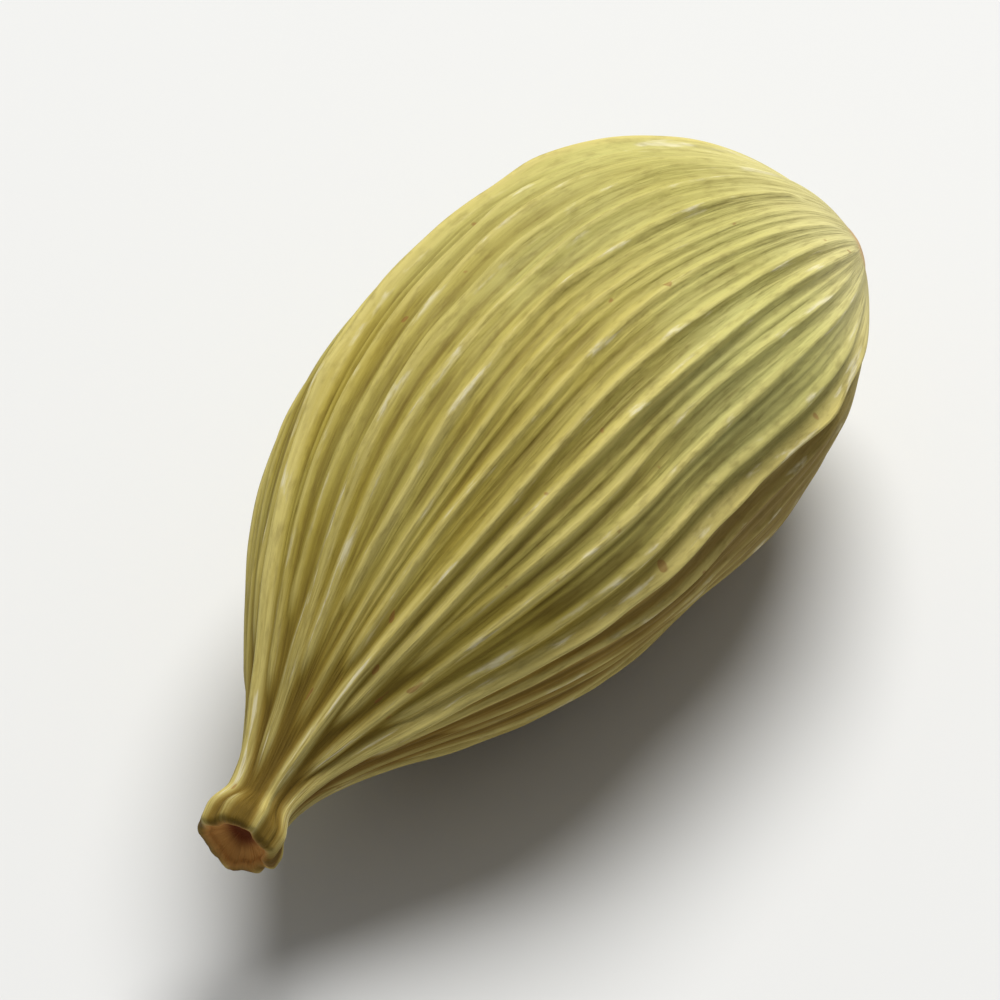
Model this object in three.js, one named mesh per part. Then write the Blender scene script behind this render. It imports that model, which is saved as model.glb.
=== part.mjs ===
// A dried green cardamom pod lying on its side: one closed husk with three keels, fine
// lengthwise ribs, a stalk scar at one end and a necked beak with a hollow, flared cup at the other.
// Millimetres, +Z up. The pod runs along X, with the scar towards +X and the beak towards -X.
import * as THREE from "three";

// Driving dimensions
const POD_LENGTH = 17.45; // scar to cup rim, along the pod's own line
const BELLY_RADIUS = 3.92; // valley floor between ribs, at the widest place
const BELLY_AT = 7.7; // distance of the widest place from the scar
const NECK_RADIUS = 0.5;
const NECK_AT = 16.5; // distance of the narrowest place from the scar
const CUP_RADIUS = 0.74; // outside of the flared cup at its rim
const CUP_LIP = 0.24; // thickness of the cup's rounded lip
const CUP_DEPTH = 0.24;
const CUP_FLOOR_RADIUS = 0.18;
const SCAR_RADIUS = 0.3;
const SCAR_DEPTH = 0.12;

// How the outline swells from the scar to the belly, falls from there to the neck, and flares
const SCAR_END_FULLNESS = 2.94;
const SCAR_END_POINT = 1.4;
const BEAK_END_FULLNESS = 2.13;
const BEAK_END_TAPER = 1.63;
const CUP_FLARE = 0.8; // share of the cup's length over which it widens
const HOLLOW_STEEPNESS = 0.8;

// How the pod bows and lies: angles run round the pod from -Y (0) through +Z (90)
const BOW = 0.79; // how far the middle stands off the straight line between the two ends
const BOW_TOWARDS = THREE.MathUtils.degToRad(167);
const SCAR_HOOK = 1.0; // how much further the scar end turns back from the bow
const FIRST_KEEL_AT = THREE.MathUtils.degToRad(14.5);
const PITCH = THREE.MathUtils.degToRad(2.0); // the scar end is lifted by this much
const REST_DEPTH = 0.5; // how much of the belly the flat resting spot takes off

// Keels and ribs
const KEELS = 3;
const RIBS_PER_FACE = 13;
const RIBS = KEELS * RIBS_PER_FACE;
const COLUMNS_PER_RIB = 4;
const KEEL_SWELL = 0.042; // how much wider the section is at a keel, as a share of its radius
const KEEL_HEIGHT = 0.24;
const KEEL_WIDTH = 0.16; // from a keel's top to where it has sunk to about a third
const KEEL_RISE = 4.0; // length from the scar over which the keels swell out
const RIB_HEIGHT = 0.12;
const RIB_HEIGHT_LEAST = 0.5; // the lowest ribs, as a share of that height
const RIB_HEIGHT_SPREAD = 0.8;
const RIB_RISE = { from: -0.4, to: 2.2 }; // distances from the scar between which ribs come up
const CREST_WIDTH = 0.115; // from a crest's top to where it has sunk to about a third
const RIB_JITTER = 0.36; // how uneven the spacing is, as a share of it
const RIB_WANDER = 0.03; // how far a crest strays to either side
const WANDER_RATE = 0.5; // radians for each millimetre along the pod, up to twice this

// How ribs drop out one by one where the pod narrows, so that the rest keep their spacing
const ALL_RIBS_RADIUS = 2.0; // every rib shows where the pod is wider than about this
const DROP_OUT = 0.25; // share of that radius over which one rib sinks away
const DROP_OUT_STEP = 0.618; // spreads the ribs that drop out first evenly round the pod
const RIM_RIB_SHARE = 0.5; // share of their height that ribs keep at the cup's rim

// Broad, shallow dents and the cup's uneven rim, as waves round and along the pod
const DENT = 0.018; // as a share of the radius
const DENT_WAVES = [
  { round: 2, along: 0.55, phase: 0.8, share: 1.0 },
  { round: 5, along: -0.9, phase: 2.1, share: 0.6 },
];
const RIM_NOTCH = 0.07;
const RIM_WAVES = [
  { round: 3, along: 0, phase: 0.7, share: 0.6 },
  { round: 5, along: 0, phase: 2.6, share: 0.4 },
];

// Rings along the outline, by stretch, and how they crowd towards the two ends
const SCAR_RINGS = 12;
const SCAR_CROWDING = 1.7;
const BEAK_RINGS = 14;
const BEAK_CROWDING = 1.25;
const CUP_RINGS = 4;
const LIP_RINGS = 4;
const HOLLOW_RINGS = 3;

const HUSK_COLOUR = 0xa39a4a;
const HUSK_ROUGHNESS = 0.72;
const TURN = 2 * Math.PI;
const SMALL_STEP = 0.01;

// A repeatable draw from 0 to 1 for one rib and one purpose.
const DRAW_FOR = { spacing: 1, rate: 2, phase: 3, height: 7 };
const DRAW_SCRAMBLE = { rib: 127.1, purpose: 311.7, stretch: 43758.5453 };

function draw(rib, purpose) {
  const seed = rib * DRAW_SCRAMBLE.rib + purpose * DRAW_SCRAMBLE.purpose;
  const value = Math.sin(seed) * DRAW_SCRAMBLE.stretch;
  return value - Math.floor(value);
}

function smooth(from, to, x) {
  return THREE.MathUtils.smoothstep(x, from, to);
}

function mix(from, to, share) {
  return THREE.MathUtils.lerp(from, to, share);
}

function waveSum(waves, angle, at) {
  const heights = waves.map((w) => w.share * Math.sin(w.round * angle + w.along * at + w.phase));
  return heights.reduce((sum, height) => sum + height, 0);
}

// Outline stretches: each ring has a distance from the scar, a radius, and the shares of keel
// swell, rib height and rim unevenness that show there.
function scarEnd() {
  const rings = [];
  for (let k = 0; k < SCAR_RINGS; k++) {
    const at = BELLY_AT * Math.pow(k / SCAR_RINGS, SCAR_CROWDING);
    const fall = Math.pow(1 - at / BELLY_AT, SCAR_END_FULLNESS);
    const radius = mix(SCAR_RADIUS, BELLY_RADIUS, Math.pow(1 - fall, 1 / SCAR_END_POINT));
    const rib = smooth(RIB_RISE.from, RIB_RISE.to, at);
    rings.push({ at, radius, keel: smooth(0, KEEL_RISE, at), rib, rim: 0 });
  }
  return rings;
}

function beakEnd() {
  const rings = [];
  for (let k = 0; k < BEAK_RINGS; k++) {
    const share = 1 - Math.pow(1 - k / BEAK_RINGS, BEAK_CROWDING);
    const at = mix(BELLY_AT, NECK_AT, share);
    const fullness = Math.pow(1 - Math.pow(share, BEAK_END_FULLNESS), BEAK_END_TAPER);
    const radius = mix(NECK_RADIUS, BELLY_RADIUS, fullness);
    rings.push({ at, radius, keel: 1, rib: 1, rim: 0 });
  }
  return rings;
}

function cupOutside() {
  const rings = [];
  for (let k = 0; k < CUP_RINGS; k++) {
    const share = k / CUP_RINGS;
    const at = mix(NECK_AT, POD_LENGTH - CUP_LIP / 2, share);
    const radius = mix(NECK_RADIUS, CUP_RADIUS, smooth(0, CUP_FLARE, share));
    const rib = mix(1, RIM_RIB_SHARE, share);
    rings.push({ at, radius, keel: 1 - share, rib, rim: share * share });
  }
  return rings;
}

function cupLip() {
  const rings = [];
  for (let k = 0; k < LIP_RINGS; k++) {
    const angle = (Math.PI * k) / (LIP_RINGS - 1);
    const at = POD_LENGTH - (CUP_LIP / 2) * (1 - Math.sin(angle));
    const radius = CUP_RADIUS - (CUP_LIP / 2) * (1 - Math.cos(angle));
    rings.push({ at, radius, keel: 0, rib: RIM_RIB_SHARE, rim: 1 });
  }
  return rings;
}

function cupHollow() {
  const rings = [];
  for (let k = 1; k <= HOLLOW_RINGS; k++) {
    const share = k / HOLLOW_RINGS;
    const at = POD_LENGTH - CUP_LIP / 2 - CUP_DEPTH * Math.pow(share, HOLLOW_STEEPNESS);
    const radius = mix(CUP_RADIUS - CUP_LIP, CUP_FLOOR_RADIUS, share);
    rings.push({ at, radius, keel: 0, rib: RIM_RIB_SHARE * (1 - share), rim: 1 - share });
  }
  return rings;
}

// The pod's middle line bows between its two ends, and hooks over towards the scar.
function middleLine(at) {
  const fromMiddle = (2 * at) / POD_LENGTH - 1;
  const fromBelly = Math.max(1 - at / BELLY_AT, 0);
  const off = BOW * (1 - fromMiddle * fromMiddle) - SCAR_HOOK * fromBelly * fromBelly;
  return new THREE.Vector3(-at, -Math.cos(BOW_TOWARDS) * off, Math.sin(BOW_TOWARDS) * off);
}

// Two directions square to the middle line: towards -Y (angle 0) and +Z (angle 90).
function sectionAxes(at) {
  const along = middleLine(at + SMALL_STEP).sub(middleLine(at - SMALL_STEP)).normalize();
  const up = new THREE.Vector3(0, 0, 1).addScaledVector(along, -along.z).normalize();
  const side = new THREE.Vector3().crossVectors(along, up).negate();
  return { side, up };
}

function isKeel(rib) {
  return rib % RIBS_PER_FACE === 0;
}

// The angle at which a rib's crest stands, straying a little to either side along the pod.
function crestAngle(rib, ring) {
  const turns = Math.floor(rib / RIBS);
  const own = rib - turns * RIBS;
  const jitter = isKeel(own) ? 0 : RIB_JITTER * (draw(own, DRAW_FOR.spacing) - 0.5);
  const rate = WANDER_RATE * (1 + draw(own, DRAW_FOR.rate));
  const wave = Math.sin(ring.at * rate + TURN * draw(own, DRAW_FOR.phase));
  const wander = (RIB_WANDER * ring.rib * wave) / Math.max(ring.radius, 1);
  return FIRST_KEEL_AT + (TURN * (own + jitter)) / RIBS + wander + TURN * turns;
}

// A keel is no broader than a rib where the pod narrows.
function keelWidth(ring) {
  return mix(CREST_WIDTH, KEEL_WIDTH, smooth(0, 1, ring.radius / ALL_RIBS_RADIUS));
}

// How high a rib's crest stands over the valleys beside it.
function crestHeight(rib, ring) {
  const wide = ring.radius / ALL_RIBS_RADIUS;
  if (isKeel(rib)) return mix(RIB_HEIGHT, KEEL_HEIGHT, smooth(0, 1, wide)) * ring.rib;
  const share = RIB_HEIGHT_LEAST + RIB_HEIGHT_SPREAD * draw(rib, DRAW_FOR.height);
  const dropsOutAt = (rib * DROP_OUT_STEP) % 1;
  return RIB_HEIGHT * share * smooth(0, DROP_OUT, wide - dropsOutAt) * ring.rib;
}

// The crests on one ring, each with its angle, height and width.
function crestsOn(ring) {
  const crests = [];
  for (let rib = 0; rib < RIBS; rib++) {
    const width = isKeel(rib) ? keelWidth(ring) : CREST_WIDTH;
    crests.push({ angle: crestAngle(rib, ring), height: crestHeight(rib, ring), width });
  }
  return crests;
}

// How far the crests lift the husk at one angle on a ring.
function relief(angle, ring, crests) {
  const lifts = crests.map((crest) => {
    const turn = angle - crest.angle;
    const offset = (ring.radius * (turn - TURN * Math.round(turn / TURN))) / crest.width;
    return crest.height * Math.exp(-offset * offset);
  });
  return Math.max(...lifts);
}

// One point of the husk: rib number and place between it and the next rib, on one ring.
function huskPoint(ring, crests, rib, between) {
  const angle = mix(crests[rib].angle, crestAngle(rib + 1, ring), between);
  const swell = KEEL_SWELL * ring.keel * Math.cos(KEELS * (angle - FIRST_KEEL_AT));
  const dent = ring.rim > 0 ? 0 : DENT * waveSum(DENT_WAVES, angle, ring.at) * ring.rib;
  const radius = ring.radius * (1 + swell + dent) + relief(angle, ring, crests);
  const at = ring.at + RIM_NOTCH * ring.rim * waveSum(RIM_WAVES, angle, ring.at);
  const { side, up } = sectionAxes(ring.at);
  return middleLine(at)
    .addScaledVector(side, radius * Math.cos(angle))
    .addScaledVector(up, radius * Math.sin(angle));
}

function huskPoints(rings) {
  const points = [];
  for (const ring of rings) {
    const crests = crestsOn(ring);
    for (let rib = 0; rib < RIBS; rib++) {
      for (let step = 0; step < COLUMNS_PER_RIB; step++) {
        points.push(huskPoint(ring, crests, rib, step / COLUMNS_PER_RIB));
      }
    }
  }
  return points;
}

// Triangles between neighbouring rings, with a fan over the scar and one on the hollow's floor.
function huskTriangles(ringCount) {
  const columns = RIBS * COLUMNS_PER_RIB;
  const scar = ringCount * columns;
  const hollowFloor = scar + 1;
  const triangles = [];
  for (let column = 0; column < columns; column++) {
    const next = (column + 1) % columns;
    triangles.push(scar, next, column);
    for (let ring = 0; ring + 1 < ringCount; ring++) {
      const near = ring * columns;
      const far = near + columns;
      triangles.push(near + column, near + next, far + next);
      triangles.push(near + column, far + next, far + column);
    }
    const last = (ringCount - 1) * columns;
    triangles.push(hollowFloor, last + column, last + next);
  }
  return triangles;
}

// Turns the pod to the way it lies, takes the flat spot off its lowest place, and puts the middle
// of its box over the origin.
function layDown(points) {
  const tilt = new THREE.Matrix4().makeRotationY(-PITCH);
  points.forEach((point) => point.applyMatrix4(tilt));
  const box = new THREE.Box3().setFromPoints(points);
  const middle = box.getCenter(new THREE.Vector3());
  const floor = box.min.z + REST_DEPTH;
  for (const point of points) {
    point.set(point.x - middle.x, point.y - middle.y, Math.max(point.z - floor, 0));
  }
}

function huskGeometry() {
  const rings = [...scarEnd(), ...beakEnd(), ...cupOutside(), ...cupLip(), ...cupHollow()];
  const points = huskPoints(rings);
  points.push(middleLine(SCAR_DEPTH), middleLine(rings.at(-1).at));
  layDown(points);
  const geometry = new THREE.BufferGeometry().setFromPoints(points);
  geometry.setIndex(huskTriangles(rings.length));
  geometry.computeVertexNormals();
  return geometry;
}

const husk = new THREE.Mesh(
  huskGeometry(),
  new THREE.MeshStandardMaterial({ color: HUSK_COLOUR, roughness: HUSK_ROUGHNESS, metalness: 0 }),
);
husk.name = "pod";

const cardamomPod = new THREE.Group();
cardamomPod.add(husk);

export default cardamomPod;
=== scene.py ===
"""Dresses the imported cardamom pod: a fine husk grown by the solid's own rule, its material and a studio.

The husk is worked out in millimetres and placed in metres by the frame. Angles run round the pod
from -Y (0) through +Z (90 degrees), and distances along it are measured from the stalk scar.
"""
import math

import bpy
import numpy as np
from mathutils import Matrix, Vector


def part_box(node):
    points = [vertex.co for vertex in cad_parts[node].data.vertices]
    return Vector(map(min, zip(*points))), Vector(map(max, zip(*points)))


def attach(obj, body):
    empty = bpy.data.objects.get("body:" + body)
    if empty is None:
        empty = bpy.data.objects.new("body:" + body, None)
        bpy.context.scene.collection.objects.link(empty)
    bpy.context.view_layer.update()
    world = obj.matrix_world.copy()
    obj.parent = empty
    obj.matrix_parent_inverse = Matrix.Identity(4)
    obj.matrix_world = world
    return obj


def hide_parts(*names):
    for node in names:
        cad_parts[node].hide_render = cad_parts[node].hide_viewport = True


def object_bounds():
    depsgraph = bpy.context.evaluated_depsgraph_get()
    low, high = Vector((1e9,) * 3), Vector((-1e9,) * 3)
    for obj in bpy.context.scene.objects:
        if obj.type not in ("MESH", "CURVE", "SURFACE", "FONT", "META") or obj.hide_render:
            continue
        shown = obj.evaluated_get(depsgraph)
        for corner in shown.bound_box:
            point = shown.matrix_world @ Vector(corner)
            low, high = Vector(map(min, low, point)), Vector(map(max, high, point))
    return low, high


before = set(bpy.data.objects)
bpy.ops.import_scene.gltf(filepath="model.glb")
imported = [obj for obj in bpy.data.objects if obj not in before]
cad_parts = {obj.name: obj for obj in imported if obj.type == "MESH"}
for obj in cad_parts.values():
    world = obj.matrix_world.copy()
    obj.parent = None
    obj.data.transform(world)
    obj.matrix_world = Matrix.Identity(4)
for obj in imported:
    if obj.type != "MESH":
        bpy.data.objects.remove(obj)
cad_low, cad_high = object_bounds()

# The solid's driving dimensions
POD_LENGTH = 17.45
BELLY_RADIUS = 3.92
BELLY_AT = 7.7
NECK_RADIUS = 0.5
NECK_AT = 16.5
CUP_RADIUS = 0.74
CUP_LIP = 0.24
CUP_DEPTH = 0.24
CUP_FLOOR_RADIUS = 0.18
SCAR_RADIUS = 0.3
SCAR_DEPTH = 0.12
SCAR_END_FULLNESS = 2.94
SCAR_END_POINT = 1.4
BEAK_END_FULLNESS = 2.13
BEAK_END_TAPER = 1.63
CUP_FLARE = 0.8
HOLLOW_STEEPNESS = 0.8
BOW = 0.79
BOW_TOWARDS = math.radians(167)
SCAR_HOOK = 1.0
FIRST_KEEL_AT = math.radians(14.5)
PITCH = math.radians(2.0)

# The solid's keels and ribs
KEELS = 3
RIBS_PER_FACE = 13
RIBS = KEELS * RIBS_PER_FACE
KEEL_SWELL = 0.042
KEEL_HEIGHT = 0.24
KEEL_WIDTH = 0.16
KEEL_RISE = 4.0
RIB_HEIGHT = 0.12
RIB_HEIGHT_LEAST = 0.5
RIB_HEIGHT_SPREAD = 0.8
RIB_RISE = (-0.4, 2.2)
CREST_WIDTH = 0.115
RIB_JITTER = 0.36
RIB_WANDER = 0.03
WANDER_RATE = 0.5
ALL_RIBS_RADIUS = 2.0
DROP_OUT = 0.25
DROP_OUT_STEP = 0.618
RIM_RIB_SHARE = 0.5
DENT = 0.018
DENT_WAVES = ((2, 0.55, 0.8, 1.0), (5, -0.9, 2.1, 0.6))
RIM_NOTCH = 0.07
RIM_WAVES = ((3, 0.0, 0.7, 0.6), (5, 0.0, 2.6, 0.4))
DRAW_SPACING, DRAW_RATE, DRAW_PHASE, DRAW_HEIGHT = 1, 2, 3, 7
DRAW_SCRAMBLE = (127.1, 311.7, 43758.5453)

# Small relief that only the dressed husk has: sharper, taller and uneven crests, fine threads
# between the ribs, puckers, a ragged rim and a collar round the scar, and where the ends' stains lie
CREST_SHARPNESS = 1.6
CREST_LIFT = 1.25
THREAD_HEIGHT = 0.07
THREAD_WIDTH = 0.07
THREAD_PLACES = (0.36, 0.66)
THREAD_STRAY = 0.16
THREAD_LEAST = 0.25
THREAD_SEEDS = 10
CREST_UNEVEN = 0.3
CREST_UNEVEN_CELLS = 16
PUCKER = 0.012
PUCKER_CELLS = (90, 22)
RIM_RAG = 0.03
RIM_RAG_CELLS = 23
SCAR_COLLAR = 0.05
SCAR_COLLAR_RUN = 0.12
SCAR_COLLAR_INSIDE = (0.4, 0.9)
SCAR_STAIN_RADIUS = 1.5
LIP_STAIN = (0.35, 0.9)
HOLLOW_STAIN = (0.25, 1.0)
UNEVEN_SEED, PUCKER_SEED, RAG_SEED = 1, 2, 3

# The mesh's rings, by stretch, and columns
SCAR_PIT_RINGS = 10
SCAR_END_RINGS = 70
SCAR_CROWDING = 1.7
BEAK_END_RINGS = 82
BEAK_CROWDING = 1.15
CUP_RINGS = 18
LIP_RINGS = 12
HOLLOW_RINGS = 12
COLUMNS_PER_RIB = 12
COLUMNS = RIBS * COLUMNS_PER_RIB
SMALL_STEP = 0.01
FLAT_EDGE = 0.05

TURN = 2 * math.pi


def draw(rib, purpose):
    """A repeatable draw from 0 to 1 for each rib and one purpose."""
    by_rib, by_purpose, stretch = DRAW_SCRAMBLE
    value = np.sin(rib * by_rib + purpose * by_purpose) * stretch
    return value - np.floor(value)


def smooth(low, high, x):
    share = np.clip((x - low) / (high - low), 0, 1)
    return share * share * (3 - 2 * share)


def mix(start, end, share):
    return start + (end - start) * share


def wave_sum(waves, angle, at):
    total = 0
    for turns, along, phase, share in waves:
        total = total + share * np.sin(turns * angle + along * at + phase)
    return total


def cell_noise(around, along, cells_around, cells_along, seed):
    """Smooth noise from -1 to 1 over shares round and along the pod, closed round the pod."""
    grid = np.random.default_rng(seed).uniform(-1, 1, (cells_around, cells_along + 2))
    u, v = around * cells_around, np.clip(along, 0, 1) * cells_along
    i, j = np.floor(u).astype(int), np.floor(v).astype(int)
    s, t = smooth(0, 1, u - i), smooth(0, 1, v - j)
    i, after = i % cells_around, (i + 1) % cells_around
    near = mix(grid[i, j], grid[after, j], s)
    far = mix(grid[i, j + 1], grid[after, j + 1], s)
    return mix(near, far, t)


def stretch(at, radius, keel, rib, rim, scar=0.0, lip=0.0, hollow=0.0):
    """Rings as rows: place, radius, the shares of relief that show, and what part of the pod it is."""
    return np.stack(np.broadcast_arrays(at, radius, keel, rib, rim, scar, lip, hollow), axis=1)


def scar_pit():
    share = (np.arange(SCAR_PIT_RINGS) + 1) / (SCAR_PIT_RINGS + 1)
    at = SCAR_DEPTH * (1 - share ** 2) - SCAR_COLLAR * smooth(*SCAR_COLLAR_INSIDE, share)
    return stretch(at, SCAR_RADIUS * share, 0.0, smooth(*RIB_RISE, 0.0) * share, 0.0, scar=1.0)


def scar_end():
    at = BELLY_AT * (np.arange(SCAR_END_RINGS) / SCAR_END_RINGS) ** SCAR_CROWDING
    fall = (1 - at / BELLY_AT) ** SCAR_END_FULLNESS
    radius = mix(SCAR_RADIUS, BELLY_RADIUS, (1 - fall) ** (1 / SCAR_END_POINT))
    collar = SCAR_COLLAR * (1 - smooth(0, SCAR_COLLAR_RUN, at))
    scar = 1 - smooth(SCAR_RADIUS, SCAR_STAIN_RADIUS, radius)
    return stretch(at - collar, radius, smooth(0, KEEL_RISE, at), smooth(*RIB_RISE, at), 0.0, scar=scar)


def beak_end():
    share = 1 - (1 - np.arange(BEAK_END_RINGS) / BEAK_END_RINGS) ** BEAK_CROWDING
    radius = mix(NECK_RADIUS, BELLY_RADIUS, (1 - share ** BEAK_END_FULLNESS) ** BEAK_END_TAPER)
    return stretch(mix(BELLY_AT, NECK_AT, share), radius, 1.0, 1.0, 0.0)


def cup_outside():
    share = np.arange(CUP_RINGS) / CUP_RINGS
    at = mix(NECK_AT, POD_LENGTH - CUP_LIP / 2, share)
    radius = mix(NECK_RADIUS, CUP_RADIUS, smooth(0, CUP_FLARE, share))
    return stretch(at, radius, 1 - share, mix(1, RIM_RIB_SHARE, share), share ** 2)


def cup_lip():
    turn = np.arange(LIP_RINGS) / (LIP_RINGS - 1)
    at = POD_LENGTH - CUP_LIP / 2 * (1 - np.sin(math.pi * turn))
    radius = CUP_RADIUS - CUP_LIP / 2 * (1 - np.cos(math.pi * turn))
    return stretch(at, radius, 0.0, RIM_RIB_SHARE, 1.0, lip=smooth(*LIP_STAIN, turn))


def cup_hollow():
    share = (np.arange(HOLLOW_RINGS) + 1) / HOLLOW_RINGS
    at = POD_LENGTH - CUP_LIP / 2 - CUP_DEPTH * share ** HOLLOW_STEEPNESS
    radius = mix(CUP_RADIUS - CUP_LIP, CUP_FLOOR_RADIUS, share)
    rib = RIM_RIB_SHARE * (1 - share)
    return stretch(at, radius, 0.0, rib, 1 - share, lip=1.0, hollow=smooth(*HOLLOW_STAIN, share))


def middle_line(at):
    """The pod's middle line, which bows between its two ends and hooks over towards the scar."""
    from_middle = 2 * at / POD_LENGTH - 1
    from_belly = np.maximum(1 - at / BELLY_AT, 0)
    off = BOW * (1 - from_middle ** 2) - SCAR_HOOK * from_belly ** 2
    return np.stack([-at, -math.cos(BOW_TOWARDS) * off, math.sin(BOW_TOWARDS) * off], axis=-1)


def unit(vectors):
    return vectors / np.linalg.norm(vectors, axis=-1, keepdims=True)


def section_axes(at):
    """Two directions square to the middle line: towards -Y (angle 0) and +Z (angle 90)."""
    along = unit(middle_line(at + SMALL_STEP) - middle_line(at - SMALL_STEP))
    up = unit(np.array([0.0, 0.0, 1.0]) - along * along[..., 2:])
    return -np.cross(along, up), up


def crest_angles(at, radius, rib_share):
    """The angle of each rib's crest on each ring, with the first rib again at the end."""
    own = np.arange(RIBS)
    jitter = np.where(own % RIBS_PER_FACE == 0, 0, RIB_JITTER * (draw(own, DRAW_SPACING) - 0.5))
    rate = WANDER_RATE * (1 + draw(own, DRAW_RATE))
    wave = np.sin(at * rate + TURN * draw(own, DRAW_PHASE))
    wander = RIB_WANDER * rib_share * wave / np.maximum(radius, 1)
    angles = FIRST_KEEL_AT + TURN * (own + jitter) / RIBS + wander
    return np.concatenate([angles, angles[:, :1] + TURN], axis=1)


def crest_heights(radius, rib_share):
    """The height of each rib's crest on each ring."""
    own = np.arange(RIBS)
    wide = radius / ALL_RIBS_RADIUS
    share = RIB_HEIGHT_LEAST + RIB_HEIGHT_SPREAD * draw(own, DRAW_HEIGHT)
    rib = RIB_HEIGHT * share * smooth(0, DROP_OUT, wide - own * DROP_OUT_STEP % 1)
    keel = mix(RIB_HEIGHT, KEEL_HEIGHT, smooth(0, 1, wide))
    return np.where(own % RIBS_PER_FACE == 0, keel, rib) * rib_share


def crest_widths(radius):
    """The width of each rib's crest on each ring. A keel narrows to a rib's width as the pod does."""
    keel = mix(CREST_WIDTH, KEEL_WIDTH, smooth(0, 1, radius / ALL_RIBS_RADIUS))
    return np.where(np.arange(RIBS) % RIBS_PER_FACE == 0, keel, CREST_WIDTH)


def ridges(angle, radius, places, heights, widths):
    """The height of the tallest of some ridges at each point, a little sharper than the solid's."""
    tallest = np.zeros_like(angle)
    for place, height, width in zip(places.T, heights.T, widths.T):
        turn = angle - place[:, None]
        offset = radius * (turn - TURN * np.round(turn / TURN)) / width[:, None]
        tallest = np.maximum(tallest, height[:, None] * np.exp(-np.abs(offset) ** CREST_SHARPNESS))
    return tallest


def threads(angle, radius, crests, rib_share):
    """Fine threads between the ribs, each with its own place and height, where there is room."""
    own = np.arange(RIBS)
    tallest = np.zeros_like(angle)
    room = smooth(ALL_RIBS_RADIUS / 2, ALL_RIBS_RADIUS, radius) * rib_share
    for number, place in enumerate(THREAD_PLACES):
        seed = THREAD_SEEDS + 2 * number
        stray = place + THREAD_STRAY * (draw(own, seed) - 0.5)
        height = THREAD_HEIGHT * mix(THREAD_LEAST, 1, draw(own, seed + 1)) * room
        places = mix(crests[:, :-1], crests[:, 1:], stray)
        widths = np.full_like(places, THREAD_WIDTH)
        tallest = np.maximum(tallest, ridges(angle, radius, places, height, widths))
    return tallest


def all_round(ring_values, like):
    return ring_values * np.ones_like(like)


def husk_relief(angle, radius, rib_share, crests, around, along):
    """How far crests, threads and puckers lift the husk at each point."""
    uneven = CREST_LIFT + CREST_UNEVEN * cell_noise(around, along, RIBS, CREST_UNEVEN_CELLS, UNEVEN_SEED)
    heights = crest_heights(radius, rib_share)
    crest = ridges(angle, radius, crests[:, :-1], heights, crest_widths(radius)) * uneven
    relief = np.maximum(crest, threads(angle, radius, crests, rib_share))
    return relief + PUCKER * rib_share * cell_noise(around, along, *PUCKER_CELLS, PUCKER_SEED)


def keel_lines(angle, radius, rib_share, crests):
    """How far the keels alone lift the husk at each point, as a share of their full height."""
    is_keel = np.arange(RIBS) % RIBS_PER_FACE == 0
    heights = crest_heights(radius, rib_share) * is_keel
    return ridges(angle, radius, crests[:, :-1], heights, crest_widths(radius)) / KEEL_HEIGHT


def husk_points(rings, angle, relief, around):
    """The husk's points in millimetres, from its rings and the relief on them."""
    at, radius, keel, rib_share, rim = (column[:, None] for column in rings.T[:5])
    swell = KEEL_SWELL * keel * np.cos(KEELS * (angle - FIRST_KEEL_AT))
    dent = np.where(rim > 0, 0, DENT * wave_sum(DENT_WAVES, angle, at) * rib_share)
    section = radius * (1 + swell + dent) + relief
    rag = RIM_RAG * cell_noise(around, np.zeros_like(at), RIM_RAG_CELLS, 1, RAG_SEED)
    place = at + rim * (RIM_NOTCH * wave_sum(RIM_WAVES, angle, at) + rag)
    side, up = section_axes(at)
    outwards = np.cos(angle)[..., None] * side + np.sin(angle)[..., None] * up
    return middle_line(place) + section[..., None] * outwards


def husk():
    """The husk's points in millimetres, ring by ring, and what the material needs at each."""
    rings = np.concatenate([scar_pit(), scar_end(), beak_end(), cup_outside(), cup_lip(), cup_hollow()])
    at, radius, _, rib_share, _, scar, lip, hollow = (column[:, None] for column in rings.T)
    column = np.arange(COLUMNS)
    rib, between = column // COLUMNS_PER_RIB, (column % COLUMNS_PER_RIB) / COLUMNS_PER_RIB
    around, along = column / COLUMNS, at / POD_LENGTH

    crests = crest_angles(at, radius, rib_share)
    angle = mix(crests[:, rib], crests[:, rib + 1], between)
    relief = husk_relief(angle, radius, rib_share, crests, around, along)
    points = husk_points(rings, angle, relief, around)

    turn = all_round(TURN * around, angle)
    keel_line = keel_lines(angle, radius, rib_share, crests)
    layers = {
        "fibre": (BELLY_RADIUS * np.cos(turn), BELLY_RADIUS * np.sin(turn), all_round(at, angle)),
        "look": (relief / RIB_HEIGHT, all_round(along, angle), keel_line),
        "ends": tuple(all_round(part, angle) for part in (scar, lip, hollow)),
    }
    poles = {
        "fibre": ((0, 0, 0), (0, 0, POD_LENGTH)),
        "look": ((0, 0, 0), (0, 1, 0)),
        "ends": ((1, 0, 0), (0, 1, 1)),
    }
    made = {"ring_count": len(rings)}
    pole_points = middle_line(np.array([SCAR_DEPTH, rings[-1, 0]]))
    made["points"] = np.concatenate([points.reshape(-1, 3), pole_points])
    for name, parts in layers.items():
        made[name] = np.concatenate([np.stack(parts, -1).reshape(-1, 3), poles[name]])
    return made


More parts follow.
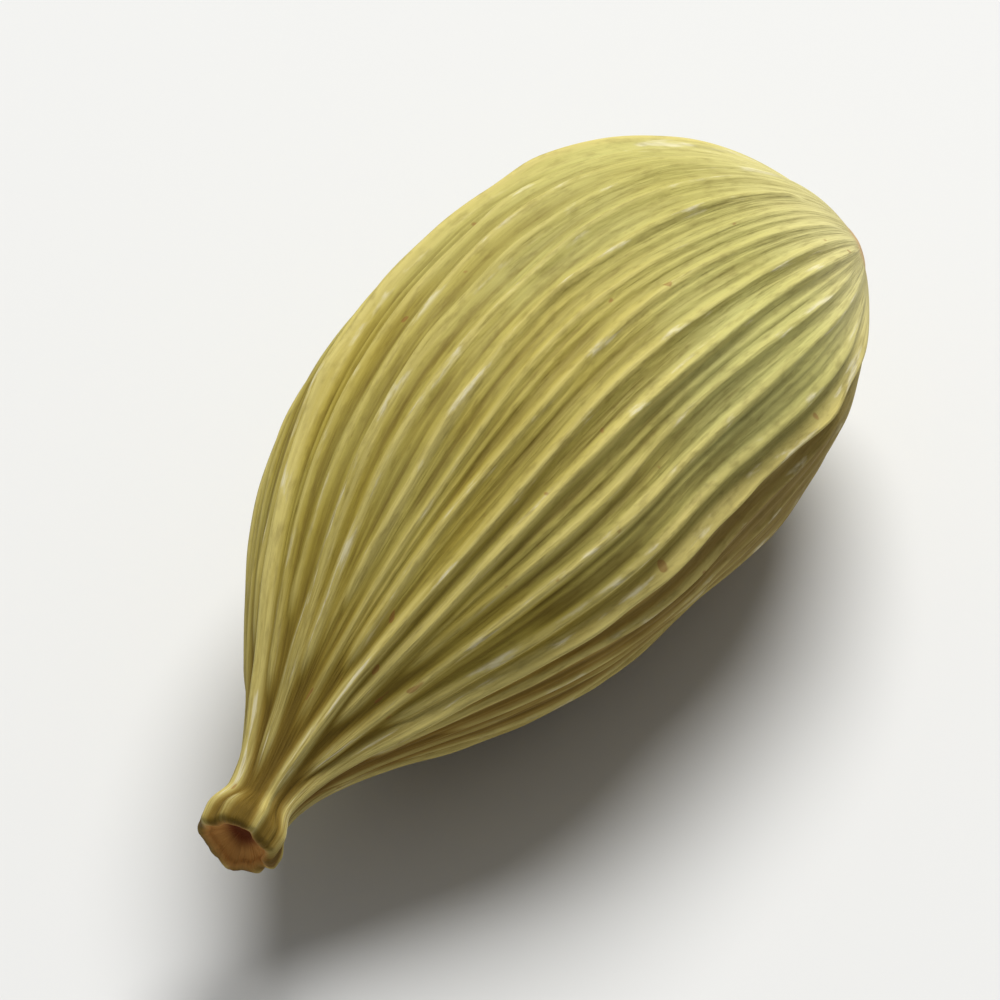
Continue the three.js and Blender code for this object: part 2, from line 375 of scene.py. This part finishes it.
def lay_down(points):
    """Turns the husk to the way the solid lies and fits it to the solid's box, in metres."""
    c, s = math.cos(PITCH), math.sin(PITCH)
    turned = points @ np.array([[c, 0, -s], [0, 1, 0], [s, 0, c]]).T
    low, high = np.array(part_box("pod")[0]), np.array(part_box("pod")[1])
    metres = (high[0] - low[0]) / np.ptp(turned[:, 0])
    placed = turned * metres
    placed += (low + high) / 2 - (placed.min(0) + placed.max(0)) / 2
    placed[:, 2] += high[2] - placed[:, 2].max()
    above = placed[:, 2] - low[2]
    edge = FLAT_EDGE * metres
    placed[:, 2] = low[2] + (above + np.sqrt(above ** 2 + edge ** 2)) / 2
    return placed


def husk_faces(ring_count):
    """Faces between neighbouring rings and a fan over each end, and each corner's place on the unwrap."""
    column = np.arange(COLUMNS)
    after = (column + 1) % COLUMNS
    left, right = column / COLUMNS, (column + 1) / COLUMNS
    faces, places = [], []
    for ring in range(ring_count - 1):
        near, far = ring * COLUMNS, (ring + 1) * COLUMNS
        faces += np.stack([near + column, near + after, far + after, far + column], 1).tolist()
        low, high = np.full(COLUMNS, ring + 1.0), np.full(COLUMNS, ring + 2.0)
        places.append(np.stack([left, low, right, low, right, high, left, high], 1).reshape(-1, 2))
    scar, last = ring_count * COLUMNS, (ring_count - 1) * COLUMNS
    middle, low, high = (left + right) / 2, np.zeros(COLUMNS), np.full(COLUMNS, ring_count + 1.0)
    faces += np.stack([np.full(COLUMNS, scar), after, column], 1).tolist()
    places.append(np.stack([middle, low, right, low + 1, left, low + 1], 1).reshape(-1, 2))
    faces += np.stack([np.full(COLUMNS, scar + 1), last + column, last + after], 1).tolist()
    places.append(np.stack([middle, high, left, high - 1, right, high - 1], 1).reshape(-1, 2))
    return faces, np.concatenate(places) / (1, ring_count + 1)


def build_husk():
    made = husk()
    faces, places = husk_faces(made["ring_count"])
    mesh = bpy.data.meshes.new("cardamom_husk")
    mesh.from_pydata(lay_down(made["points"]).tolist(), [], faces)
    for name in ("fibre", "look", "ends"):
        layer = mesh.attributes.new(name, "FLOAT_VECTOR", "POINT")
        layer.data.foreach_set("vector", made[name].astype(np.float32).ravel())
    unwrap = mesh.uv_layers.new(name="OFBake")
    unwrap.uv.foreach_set("vector", places.astype(np.float32).ravel())
    mesh.shade_smooth()
    piece = bpy.data.objects.new("cardamom_husk", mesh)
    bpy.context.scene.collection.objects.link(piece)
    return piece


# Materials

def colour(red, green, blue):
    """A colour given as on a screen, from 0 to 255, as Blender's linear colour."""
    parts = []
    for part in (red, green, blue):
        share = part / 255
        parts.append(share / 12.92 if share <= 0.04045 else ((share + 0.055) / 1.055) ** 2.4)
    return (*parts, 1.0)


class Shader:
    """A material's nodes, made by short calls that take numbers, colours or other nodes' outputs."""

    def __init__(self, name):
        self.material = bpy.data.materials.new(name)
        self.material.use_nodes = True
        self.tree = self.material.node_tree
        self.surface = self.tree.nodes["Principled BSDF"]

    def set(self, socket, value):
        if isinstance(value, bpy.types.NodeSocket):
            self.tree.links.new(value, socket)
        else:
            socket.default_value = value

    def node(self, kind, inputs, output=0, **settings):
        made = self.tree.nodes.new(kind)
        for name, value in settings.items():
            setattr(made, name, value)
        for key, value in inputs.items():
            self.set(made.inputs[key], value)
        return made.outputs[output]

    def attribute(self, name):
        return self.node("ShaderNodeAttribute", {}, output="Vector", attribute_name=name)

    def split(self, vector):
        first = self.node("ShaderNodeSeparateXYZ", {0: vector})
        return first.node.outputs

    def scaled(self, vector, *scale):
        return self.node("ShaderNodeVectorMath", {0: vector, 1: scale}, operation="MULTIPLY")

    def noise(self, vector, detail):
        inputs = {"Vector": vector, "Scale": 1.0, "Detail": detail, "Roughness": NOISE_ROUGHNESS}
        return self.node("ShaderNodeTexNoise", inputs)

    def math(self, operation, first, second=0.0, clamp=False):
        return self.node("ShaderNodeMath", {0: first, 1: second}, operation=operation, use_clamp=clamp)

    def between(self, value, low, high, to_low=0.0, to_high=1.0):
        inputs = {0: value, 1: low, 2: high, 3: to_low, 4: to_high}
        return self.node("ShaderNodeMapRange", inputs, interpolation_type="SMOOTHSTEP")

    def blend(self, share, first, second):
        inputs = {0: share, 6: first, 7: second}
        return self.node("ShaderNodeMix", inputs, output=2, data_type="RGBA")

    def bump(self, height, distance):
        inputs = {"Height": height, "Distance": distance, "Strength": 1.0}
        return self.node("ShaderNodeBump", inputs)


# The husk's colours
LEAF_GREEN = colour(194, 189, 114)
OLIVE = colour(174, 156, 64)
# Darker olive towards the beak: partly the husk's own colour, partly painted shade
SHADED_TAPER_OLIVE = colour(130, 104, 32)
# Darkens the grain and fibres, and is also the painted shade in the rib valleys
DEEP_OLIVE = colour(94, 72, 16)
STRAW = colour(214, 199, 120)
# Paler near the scar: partly the husk's own colour, partly painted light
LIT_PALE_GREEN = colour(222, 212, 150)
SCUFF = colour(234, 227, 196)
RUST = colour(140, 84, 44)
# The tan side's colour: partly the husk's own tan, partly painted shade
TAN_AND_SHADE = colour(128, 92, 28)
LIP_ORANGE = colour(206, 150, 80)
HOLLOW_BROWN = colour(124, 62, 26)
SCAR_PINK = colour(214, 168, 118)
SCAR_RED = colour(132, 62, 40)

# Where colours change along the pod: from and to, as shares of its length from the scar. Here and
# below, a range's third and fourth numbers are how much of the new colour shows at its two ends.
GREEN_TO_OLIVE = (0.12, 0.72)
# The darker taper is partly painted shade, and the pale scar end partly painted light
OLIVE_TO_SHADED_TAPER = (0.66, 0.95)
LIT_PALE_AT_SCAR = (0.2, 0.02, 0.0, 0.75)
VALLEY_SHADE_ALONG = (0.05, 0.7, 0.2, 0.8)
STRAW_ALONG = (0.1, 0.6, 0.2, 1.0)

# The husk's tan side, partly its own tan and partly painted shade, round the pod from its first keel, and
# how far round it reaches
SHADED_TAN_SIDE = math.radians(-62)
SHADED_TAN_FACE = (0.25, 0.62, 0.0, 0.75)

# Where colours change with the height of the relief, as shares of a rib's or a keel's height
VALLEY_SHADE_HEIGHT = (0.5, 0.0)
STRAW_HEIGHT = (0.25, 1.0)
SCUFF_HEIGHT = (0.5, 1.0, 0.0, 0.6)
# The keels' straw colour, brightened into a painted highlight line
KEEL_STRAW_HIGHLIGHT = (0.5, 1.0, 0.0, 0.85)

# Where colours change with the stain of the scar
PINK_STAIN = (0.1, 0.95, 0.0, 0.7)
RED_STAIN = (0.94, 1.0)

# Noise over the husk, as cells for each millimetre round and along it
BLOTCHES = (0.35, 0.22)
STREAKS = (6.5, 0.4)
FIBRES = (15.0, 0.9)
GRAIN = (10.0, 2.6)
WORN_SPOTS = (5.0, 0.9)
SPECKS = (2.6, 2.2)
NOISE_ROUGHNESS = 0.55
COARSE, PLAIN, FINE, FINEST = 1.0, 2.0, 3.0, 4.0  # how much detail a noise has

# Where colours, heights and shine change with a noise's value
BLOTCH_SWAY = (0.3, 0.7, -0.25, 0.25)
VALLEY_SHADE_STREAKS = (0.66, 0.36, 0.5, 1.0)
STRAW_STREAKS = (0.3, 0.6, 0.35, 0.8)
FIBRE_TONE = (0.56, 0.36, 0.0, 0.12)
GRAIN_TONE = (0.45, 0.8, 0.0, 0.35)
SCUFF_SPOTS = (0.56, 0.7)
RUST_SPOTS = (0.745, 0.79, 0.0, 0.55)
ROUGHNESS_STREAKS = (0.3, 0.7, 0.74, 0.58)

# The finest relief, as a bump in metres and each noise's share of it, and the husk's shine
BUMP_DEPTH = 0.00004
STREAK_BUMP, FIBRE_BUMP, GRAIN_BUMP = 0.5, 0.6, 0.3
HUSK_SPECULAR = 0.16


def husk_noise(shader, fibre, cells, detail):
    around, along = cells
    return shader.noise(shader.scaled(fibre, around, around, along), detail)


def shaded_tan_side_facing(shader, fibre):
    """How far a place on the husk faces the way of its tan side, which is partly painted shade, from -1 to
    1.
    """
    way = (math.cos(SHADED_TAN_SIDE) / BELLY_RADIUS, math.sin(SHADED_TAN_SIDE) / BELLY_RADIUS, 0.0)
    inputs = {0: fibre, 1: way}
    return shader.node("ShaderNodeVectorMath", inputs, output="Value", operation="DOT_PRODUCT")


def ground_colour(shader, fibre, along):
    """Green at the scar end, olive at the belly and browner towards the beak, in soft blotches, with a tan
    side. The paler scar end is partly painted light; the darker beak and the tan side are partly painted
    shade.
    """
    blotches = husk_noise(shader, fibre, BLOTCHES, PLAIN)
    olive = shader.between(along, *GREEN_TO_OLIVE)
    olive = shader.math("ADD", olive, shader.between(blotches, *BLOTCH_SWAY), clamp=True)
    shade = shader.blend(olive, LEAF_GREEN, OLIVE)
    # Partly painted shade: darker towards the beak
    shade = shader.blend(shader.between(along, *OLIVE_TO_SHADED_TAPER), shade, SHADED_TAPER_OLIVE)
    # Partly painted shade: the side turned down from the light is browner, partly the husk's own tan
    shade = shader.blend(shader.between(shaded_tan_side_facing(shader, fibre), *SHADED_TAN_FACE), shade, TAN_AND_SHADE)
    # Partly painted light: paler at the scar end
    return shader.blend(shader.between(along, *LIT_PALE_AT_SCAR), shade, LIT_PALE_GREEN)


def ribbed_colour(shader, shade, look, streaks):
    """Painted shade in the valleys, partly their own darker colour, most of all towards the beak,
    straw-coloured crests, and keels whose straw line is partly a painted highlight.
    """
    crest, along, keel = shader.split(look)
    valley_shade_streaks = shader.between(streaks, *VALLEY_SHADE_STREAKS)
    # Painted shade in the rib valleys, partly their own darker colour, strongest towards the beak
    valley_shade = shader.math("MULTIPLY", shader.between(crest, *VALLEY_SHADE_HEIGHT), valley_shade_streaks)
    valley_shade = shader.math("MULTIPLY", valley_shade, shader.between(along, *VALLEY_SHADE_ALONG))
    shade = shader.blend(valley_shade, shade, DEEP_OLIVE)
    straw_streaks = shader.between(streaks, *STRAW_STREAKS)
    straw = shader.math("MULTIPLY", shader.between(crest, *STRAW_HEIGHT), straw_streaks)
    straw = shader.math("MULTIPLY", straw, shader.between(along, *STRAW_ALONG))
    shade = shader.blend(straw, shade, STRAW)
    # Straw keels: partly their own pale colour, partly a painted highlight along each keel
    return shader.blend(shader.between(keel, *KEEL_STRAW_HIGHLIGHT), shade, STRAW)


def worn_colour(shader, shade, fibre, look, grain):
    """Short pale scuffs on the crests, a few rusty specks and a fine dark grain."""
    crest = shader.split(look)[0]
    worn = shader.between(husk_noise(shader, fibre, WORN_SPOTS, FINEST), *SCUFF_SPOTS)
    scuff = shader.math("MULTIPLY", worn, shader.between(crest, *SCUFF_HEIGHT))
    shade = shader.blend(scuff, shade, SCUFF)
    specks = husk_noise(shader, fibre, SPECKS, COARSE)
    shade = shader.blend(shader.between(specks, *RUST_SPOTS), shade, RUST)
    return shader.blend(shader.between(grain, *GRAIN_TONE), shade, DEEP_OLIVE)


def ends_colour(shader, shade, ends):
    """The cup's orange lip and brown hollow, and the reddish scar with its pink surround."""
    scar, lip, hollow = shader.split(ends)
    shade = shader.blend(lip, shade, LIP_ORANGE)
    shade = shader.blend(hollow, shade, HOLLOW_BROWN)
    shade = shader.blend(shader.between(scar, *PINK_STAIN), shade, SCAR_PINK)
    return shader.blend(shader.between(scar, *RED_STAIN), shade, SCAR_RED)


def fine_height(shader, streaks, fibres, grain):
    """The height of the finest relief, as a sum of the noises along the husk."""
    streaks = shader.math("MULTIPLY", streaks, STREAK_BUMP)
    fibres = shader.math("MULTIPLY", fibres, FIBRE_BUMP)
    grain = shader.math("MULTIPLY", grain, GRAIN_BUMP)
    return shader.math("ADD", shader.math("ADD", streaks, fibres), grain)


def husk_material():
    shader = Shader("cardamom_husk")
    fibre, look, ends = (shader.attribute(name) for name in ("fibre", "look", "ends"))
    streaks = husk_noise(shader, fibre, STREAKS, FINEST)
    fibres = husk_noise(shader, fibre, FIBRES, FINE)
    grain = husk_noise(shader, fibre, GRAIN, FINE)
    shade = ground_colour(shader, fibre, shader.split(look)[1])
    shade = ribbed_colour(shader, shade, look, streaks)
    shade = shader.blend(shader.between(fibres, *FIBRE_TONE), shade, DEEP_OLIVE)
    shade = worn_colour(shader, shade, fibre, look, grain)
    shade = ends_colour(shader, shade, ends)
    height = fine_height(shader, streaks, fibres, grain)
    shader.set(shader.surface.inputs["Base Color"], shade)
    shader.set(shader.surface.inputs["Roughness"], shader.between(streaks, *ROUGHNESS_STREAKS))
    shader.set(shader.surface.inputs["Specular IOR Level"], HUSK_SPECULAR)
    shader.set(shader.surface.inputs["Normal"], shader.bump(height, BUMP_DEPTH))
    return shader.material


def floor_material():
    shader = Shader("pale_floor")
    shader.set(shader.surface.inputs["Base Color"], FLOOR_GREY)
    shader.set(shader.surface.inputs["Roughness"], FLOOR_ROUGHNESS)
    return shader.material


# Stage, light and camera

VIEW_AZIMUTH = math.radians(-54)
VIEW_ELEVATION = math.radians(50)
VIEW_DISTANCE = 0.30
FRAME_WIDTH = 0.0178
SENSOR_WIDTH = 36.0
NEAREST_SEEN = 0.01
FLOOR_HALF = 1.5
FLOOR_GREY = colour(216, 216, 214)
FLOOR_ROUGHNESS = 0.6
WORLD_WHITE = (1, 1, 1, 1)
WORLD_STRENGTH = 0.22
KEY_AZIMUTH = math.radians(112)
KEY_ELEVATION = math.radians(55)
KEY_DISTANCE = 0.6
KEY_SIZE = 0.42
KEY_POWER = 4.7


def direction(azimuth, elevation):
    flat = math.cos(elevation)
    return Vector((math.sin(azimuth) * flat, -math.cos(azimuth) * flat, math.sin(elevation)))


def build_floor():
    mesh = bpy.data.meshes.new("floor")
    signs = ((-1, -1), (1, -1), (1, 1), (-1, 1))
    corners = [(x * FLOOR_HALF, y * FLOOR_HALF, cad_low.z) for x, y in signs]
    mesh.from_pydata(corners, [], [(0, 1, 2, 3)])
    mesh.materials.append(floor_material())
    floor = bpy.data.objects.new("floor", mesh)
    bpy.context.scene.collection.objects.link(floor)


def aim(thing, target):
    thing.rotation_euler = (target - thing.location).to_track_quat("-Z", "Y").to_euler()


def build_key_light(centre):
    data = bpy.data.lights.new("key", "AREA")
    data.shape = "DISK"
    data.size = KEY_SIZE
    data.energy = KEY_POWER
    lamp = bpy.data.objects.new("key", data)
    lamp.location = centre + direction(KEY_AZIMUTH, KEY_ELEVATION) * KEY_DISTANCE
    aim(lamp, centre)
    bpy.context.scene.collection.objects.link(lamp)


def build_world():
    world = bpy.data.worlds.new("studio")
    world.use_nodes = True
    background = world.node_tree.nodes["Background"]
    background.inputs["Color"].default_value = WORLD_WHITE
    background.inputs["Strength"].default_value = WORLD_STRENGTH
    bpy.context.scene.world = world


def build_camera(centre):
    data = bpy.data.cameras.new("camera")
    data.sensor_width = SENSOR_WIDTH
    data.lens = SENSOR_WIDTH * VIEW_DISTANCE / FRAME_WIDTH
    data.clip_start = NEAREST_SEEN
    camera = bpy.data.objects.new("camera", data)
    camera.location = centre + direction(VIEW_AZIMUTH, VIEW_ELEVATION) * VIEW_DISTANCE
    aim(camera, centre)
    bpy.context.scene.collection.objects.link(camera)
    bpy.context.scene.camera = camera


pod = build_husk()
pod.data.materials.append(husk_material())
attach(pod, "root")
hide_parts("pod")

middle = (cad_low + cad_high) / 2
build_floor()
build_world()
build_key_light(middle)
build_camera(middle)
bpy.context.scene.view_settings.view_transform = "Standard"
